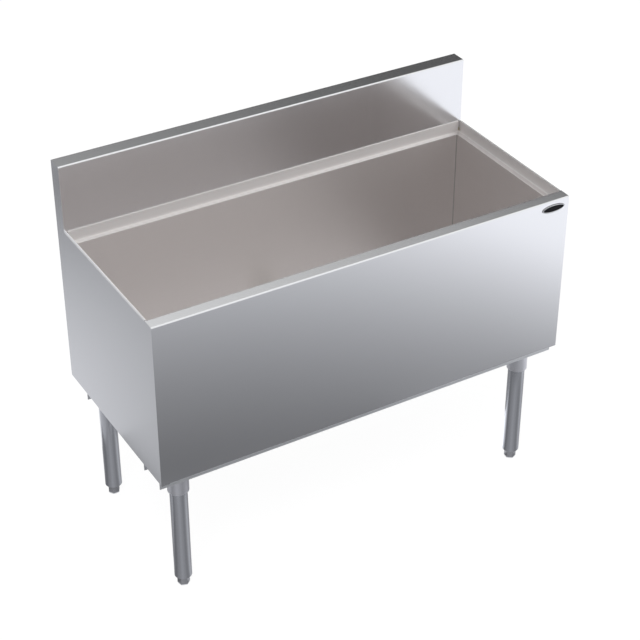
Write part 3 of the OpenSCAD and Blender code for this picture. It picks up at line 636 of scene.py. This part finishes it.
def oval_shell(name, outline, finish, closed):
    """A shell on the badge's oval. outline gives (inset, height) pairs in metres from the back edge
    over the front. A closed outline makes a ring, an open one a disc."""
    steps = 96
    low, high = (Vector(corner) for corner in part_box("badge_plate"))
    centre = (low + high) / 2
    half = (high - low) / 2
    angles = [2 * math.pi * i / steps for i in range(steps)]
    shape = bmesh.new()
    loops = []
    for inset, height in outline:
        loops.append([shape.verts.new((
            centre.x + (half.x - inset) * math.cos(angle), high.y - height,
            centre.z + (half.z - inset) * math.sin(angle))) for angle in angles])
    if closed:
        loops.append(loops[0])
    for first, second in zip(loops, loops[1:]):
        for i in range(steps):
            j = (i + 1) % steps
            shape.faces.new((first[i], first[j], second[j], second[i]))
    if not closed:
        shape.faces.new(loops[0])
        shape.faces.new(loops[-1])
    bmesh.ops.recalc_face_normals(shape, faces=shape.faces)
    mesh = bpy.data.meshes.new(name)
    shape.to_mesh(mesh)
    shape.free()
    mesh.materials.append(finish)
    mesh.shade_smooth()
    mesh.set_sharp_from_angle(angle=math.radians(40))
    return link(bpy.data.objects.new(name, mesh))


# Blank badge: a plate of black enamel, slightly domed, with a bright bead set in just off its edge
(_, badge_front, _), (_, badge_back, _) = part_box("badge_plate")
badge_thick = badge_back - badge_front

# The plate's wall, its broken edge and its dome. Rises are shares of the badge's thickness.
wall_rise = 0.5
edge_rise = 0.6
edge_inset = 0.15 * MM
dome_rise = 0.25
dome_width = 9.6 * MM
dome_steps = 10
edge = [(0, 0), (0, wall_rise * badge_thick), (edge_inset, edge_rise * badge_thick)]
dome = [(edge_inset + dome_width * i / dome_steps,
         badge_thick * (edge_rise + dome_rise * math.sin(math.pi / 2 * i / dome_steps)))
        for i in range(1, dome_steps + 1)]
plate = oval_shell("badge_enamel", edge + dome, ENAMEL, closed=False)

# The bead, flat on top between two round shoulders, whose width is a share of the bead's
bead_inset = 0.9 * MM
bead_width = 1.6 * MM
foot_rise = 0.4
shoulder_rise = 0.7
shoulder_width = 0.35
shoulder_steps = 4
angles = [math.pi / 2 * i / shoulder_steps for i in range(shoulder_steps + 1)]
shoulder = [(shoulder_width * (1 - math.cos(angle)), shoulder_rise + (1 - shoulder_rise) * math.sin(angle))
            for angle in angles]
half_bead = [(0, foot_rise)] + shoulder
other_half = [(1 - across, rise) for across, rise in reversed(half_bead)]
bead = [(bead_inset + bead_width * across, badge_thick * rise) for across, rise in half_bead + other_half]
rim = oval_shell("badge_bead", bead, RIM, closed=True)
fit(plate, "unit", "badge_black", "badge_plate")
fit(rim, "unit", "badge_black")


# Studio: floor, what only mirrors see, sky, lamp and camera

def flat_sheet(name, low, high, z):
    """A horizontal rectangle between two (x, y) corners. It faces up and isn't part of the object."""
    (x0, y0), (x1, y1) = low, high
    mesh = bpy.data.meshes.new(name)
    mesh.from_pydata([(x0, y0, z), (x1, y0, z), (x1, y1, z), (x0, y1, z)], [], [(0, 1, 2, 3)])
    sheet = link(bpy.data.objects.new(name, mesh))
    return sheet


def floor_material():
    """A white studio floor. The camera and the mirrors see it white, with a trace of the shadow."""
    material, tree = new_material("white_floor")
    path = node(tree, "ShaderNodeLightPath")
    seen = path.outputs["Is Camera Ray"]
    for other in ("Is Glossy Ray", "Is Transmission Ray"):
        seen = node(tree, "ShaderNodeMath", {0: seen, 1: path.outputs[other]}, operation="MAXIMUM")
    lit = node(tree, "ShaderNodeBsdfDiffuse", {"Color": linear("#5c5c5c")})
    glow = node(tree, "ShaderNodeEmission", {"Color": (1, 1, 1, 1), "Strength": 0.93})
    white = node(tree, "ShaderNodeAddShader", {0: lit, 1: glow})
    plain = node(tree, "ShaderNodeBsdfDiffuse", {"Color": linear("#e4e4e4")})
    both = node(tree, "ShaderNodeMixShader", {0: seen, 1: plain, 2: white})
    node(tree, "ShaderNodeOutputMaterial", {"Surface": both})
    return material


FLOOR_REACH = 40
floor = flat_sheet("studio_floor", (-FLOOR_REACH, -FLOOR_REACH), (FLOOR_REACH, FLOOR_REACH), z=0)
floor.data.materials.append(floor_material())


def glow_card(name, low, high, z, glow_of):
    """A card on the floor that only mirrors see, as bright as glow_of(tree, x, y) says."""
    card = flat_sheet(name, low, high, z)
    for sight in ("visible_camera", "visible_diffuse", "visible_shadow", "visible_transmission"):
        setattr(card, sight, False)
    material, tree = new_material(name)
    place = node(tree, "ShaderNodeTexCoord").outputs["Object"]
    parts = node(tree, "ShaderNodeSeparateXYZ", {0: place}).outputs
    glow = glow_of(tree, parts["X"], parts["Y"])
    shine = node(tree, "ShaderNodeEmission", {"Color": linear("#f9faff"), "Strength": glow})
    node(tree, "ShaderNodeOutputMaterial", {"Surface": shine})
    card.data.materials.append(material)


def power_of(tree, terms):
    """exp of the sum of terms, each a list of numbers and sockets that are multiplied."""
    total = 0.0
    for factors in terms:
        product = 1.0
        for factor in factors:
            product = node(tree, "ShaderNodeMath", {0: product, 1: factor}, operation="MULTIPLY")
        total = node(tree, "ShaderNodeMath", {0: total, 1: product})
    return node(tree, "ShaderNodeMath", {0: total}, operation="EXPONENT")


def front_glow(tree, x, y):
    """Painted shadow of the bin on the floor, seen only in mirrors: dark beside the bin's front left corner,
    white towards the front right, as the tones that the front panel mirrors in the photograph."""
    brightest = 1.08
    glow = power_of(tree, [[-2.60], [1.05, x], [-1.54, y], [0.39, x, x], [0.47, x, y], [-0.16, y, y]])
    return node(tree, "ShaderNodeMath", {0: glow, 1: brightest}, operation="MINIMUM")


def away_from(tree, x, y, middle_x, middle_y):
    """The way from a place on the floor: its parts along X and Y, and its length."""
    off_x = node(tree, "ShaderNodeMath", {0: x, 1: middle_x}, operation="SUBTRACT")
    off_y = node(tree, "ShaderNodeMath", {0: y, 1: middle_y}, operation="SUBTRACT")
    off = node(tree, "ShaderNodeCombineXYZ", {"X": off_x, "Y": off_y})
    away = node(tree, "ShaderNodeVectorMath", {0: off}, operation="LENGTH").outputs["Value"]
    return off_x, off_y, away


def left_glow(tree, x, y):
    """A soft pool of light beside the body, darker further out and towards both ends, and as white as
    the floor at the card's edges."""
    pool_x = -0.9
    pool_y = 0.85
    floor_white = 0.96
    _, off_y, away = away_from(tree, x, y, pool_x, pool_y)
    glow = power_of(tree, [[0.557], [1.30, x], [-0.62, off_y, off_y]])
    fade = node(tree, "ShaderNodeMapRange", {"Value": away, "From Min": 0.9, "From Max": 1.7},
                interpolation_type="SMOOTHSTEP")
    return node(tree, "ShaderNodeMix", {0: fade, 2: glow, 3: floor_white})


def leg_glow(tree, x, y, axis, behind):
    """Grey spokes round a leg, which it shows as upright streaks: darkest on the left of it. Far out,
    where the socket mirrors them, they are brighter, but grey in front of the bin's middle. behind is
    the light that the leg's left edge mirrors."""
    seam_light = 0.30
    middle_light = 0.2
    socket_share = 1.35
    headings = (
        (-149, 0.36), (-115, 0.285), (-72, 0.175), (-40, behind), (-15, 2 * behind), (60, 0.40),
        (86, 0.36), (105, 0.50), (122, 0.46), (136, 0.31), (150, 0.24), (163, 0.245))
    off_x, off_y, away = away_from(tree, x, y, axis.x, axis.y)
    fade = node(tree, "ShaderNodeMapRange", {"Value": away, "From Min": 0.33, "From Max": 0.43},
                interpolation_type="SMOOTHSTEP")
    middle = node(tree, "ShaderNodeMath", {0: x}, operation="ABSOLUTE")
    beside = node(tree, "ShaderNodeMapRange", {"Value": middle, "From Min": 0.25, "From Max": 0.62})

    # Headings run clockwise from +Y in degrees, and the seam of the ramp is at 180
    angle = node(tree, "ShaderNodeMath", {0: off_x, 1: off_y}, operation="ARCTAN2")
    turns = node(tree, "ShaderNodeMapRange", {"Value": angle, "From Min": -math.pi, "From Max": math.pi})
    spokes = node(tree, "ShaderNodeValToRGB", {"Fac": turns})
    spokes.color_ramp.interpolation = "EASE"
    stops = spokes.color_ramp.elements
    for stop in stops:
        stop.color = (seam_light, seam_light, seam_light, 1)
    for heading, light in headings:
        stops.new((heading + 180) / 360).color = (light, light, light, 1)
    brighter = node(tree, "ShaderNodeMath", {0: spokes, 1: socket_share}, operation="MULTIPLY")
    rest = node(tree, "ShaderNodeMix", {0: beside, 2: middle_light, 3: brighter})
    return node(tree, "ShaderNodeMix", {0: fade, 2: spokes, 3: rest})


def under_glow(tree, x, y):
    """The even shade under the body."""
    return 0.3


# The front and left cards meet just outside the body's front left corner. The card under the body
# and those of the legs lie over them.
FRONT_EDGE = -0.27
LEFT_EDGE = -0.56
RIGHT_EDGE = 0.62
glow_card("front_card", low=(-3.0, -3.6), high=(3.6, FRONT_EDGE), z=2 * MM, glow_of=front_glow)
glow_card("left_card", low=(-3.5, FRONT_EDGE), high=(LEFT_EDGE, 4.0), z=2 * MM, glow_of=left_glow)
glow_card("under_card", low=(LEFT_EDGE, -0.3), high=(RIGHT_EDGE, 0.3), z=3 * MM, glow_of=under_glow)

# The legs' cards. A side has the place where its two cards meet and the light behind its legs, and an
# end has how far its cards reach aside and where they begin and end.
for side, halfway, behind in (("l", -0.09, 0.25), ("r", 0.01, 0.75)):
    for end, aside, near, far in (("f", 0.46, -0.63, halfway), ("r", 0.24, halfway, 0.39)):
        axis = axis_of("leg_tube_" + end + side)
        glow_card("leg_card_" + end + side, low=(axis.x - aside, near), high=(axis.x + aside, far),
                  z=4 * MM, glow_of=lambda tree, x, y: leg_glow(tree, x, y, axis, behind))


def studio_sky():
    """White studio walls and ceiling, dimmer on the left. Low down behind the bin on the right it is
    dark, up to a soft edge that the top faces of the bin mirror. The camera sees plain white."""
    tilt = (-0.091, 0.0525, 1.0)
    edge_low = math.radians(25.9)
    edge_high = math.radians(38.4)
    gap_light = 0.012
    gap_heading = math.radians(30)
    left_light = 0.64
    low_light = 0.75
    world = bpy.data.worlds.new("studio")
    bpy.context.scene.world = world
    world.use_nodes = True
    tree = world.node_tree
    tree.nodes.clear()
    heading = node(tree, "ShaderNodeTexCoord").outputs["Generated"]
    parts = node(tree, "ShaderNodeSeparateXYZ", {0: heading}).outputs

    # The dark gap: its soft upper edge is tilted, and it opens round one heading
    level = node(tree, "ShaderNodeVectorMath", {
        0: heading, 1: tilt}, operation="DOT_PRODUCT").outputs["Value"]
    edge = node(tree, "ShaderNodeMapRange", {
        "Value": level, "From Min": math.sin(edge_low), "From Max": math.sin(edge_high),
        "To Min": gap_light}, interpolation_type="SMOOTHSTEP")
    behind = node(tree, "ShaderNodeVectorMath", {
        0: heading, 1: (math.sin(gap_heading), math.cos(gap_heading), 0)},
        operation="DOT_PRODUCT").outputs["Value"]
    gap = node(tree, "ShaderNodeMapRange", {
        "Value": behind, "From Min": 0.60, "From Max": 0.75, "To Min": 1.0, "To Max": edge},
        interpolation_type="SMOOTHSTEP")

    wall = node(tree, "ShaderNodeMapRange", {
        "Value": parts["X"], "From Min": 0.3, "From Max": -0.4, "To Min": 1.0, "To Max": left_light},
        interpolation_type="SMOOTHSTEP")
    low = node(tree, "ShaderNodeMapRange", {
        "Value": parts["Z"], "From Max": 0.35, "To Min": low_light}, interpolation_type="SMOOTHSTEP")
    light = node(tree, "ShaderNodeMath", {0: wall, 1: gap}, operation="MULTIPLY")
    light = node(tree, "ShaderNodeMath", {0: light, 1: low}, operation="MULTIPLY")
    seen = node(tree, "ShaderNodeLightPath").outputs["Is Camera Ray"]
    light = node(tree, "ShaderNodeMix", {0: seen, 2: light, 3: 1.0})
    back = node(tree, "ShaderNodeBackground", {"Color": linear("#ffffff"), "Strength": light})
    node(tree, "ShaderNodeOutputWorld", {"Surface": back})


studio_sky()


def soft_lamp(name, place, target, size, power):
    """A softbox that lights the floor and the matt pieces, and isn't mirrored as a hard square."""
    data = bpy.data.lights.new(name, "AREA")
    data.shape = "SQUARE"
    data.size = size
    data.energy = power
    lamp = link(bpy.data.objects.new(name, data))
    lamp.location = place
    lamp.rotation_euler = (Vector(target) - Vector(place)).to_track_quat("-Z", "Y").to_euler()
    lamp.visible_glossy = False


soft_lamp("key_softbox", place=(-1.6, -1.8, 3.2), target=(0, 0, 0.5), size=1.6, power=60)

# The photograph's camera: its place and direction were solved from the object's corners. The
# sensor's width is in millimetres, as Blender has it.
IMAGE_PIXELS = 640
FOCAL_PIXELS = 1709.5
SENSOR = 36.0
CAMERA_PLACE = (-1.6997, -2.9011, 2.7371)
CAMERA_TURN = math.radians(30.50)
CAMERA_DIP = math.radians(33.97)
data = bpy.data.cameras.new("photo_camera")
data.sensor_width = SENSOR
data.sensor_fit = "HORIZONTAL"
data.lens = FOCAL_PIXELS / IMAGE_PIXELS * SENSOR
camera = link(bpy.data.objects.new("photo_camera", data))
camera.location = CAMERA_PLACE
ahead = Vector((math.sin(CAMERA_TURN) * math.cos(CAMERA_DIP), math.cos(CAMERA_TURN) * math.cos(CAMERA_DIP),
                -math.sin(CAMERA_DIP)))
camera.rotation_mode = "QUATERNION"
camera.rotation_quaternion = ahead.to_track_quat("-Z", "Y")
bpy.context.scene.camera = camera
bpy.context.scene.view_settings.view_transform = "Standard"
bpy.context.scene.cycles.glossy_bounces = 10
bpy.context.scene.cycles.max_bounces = 16
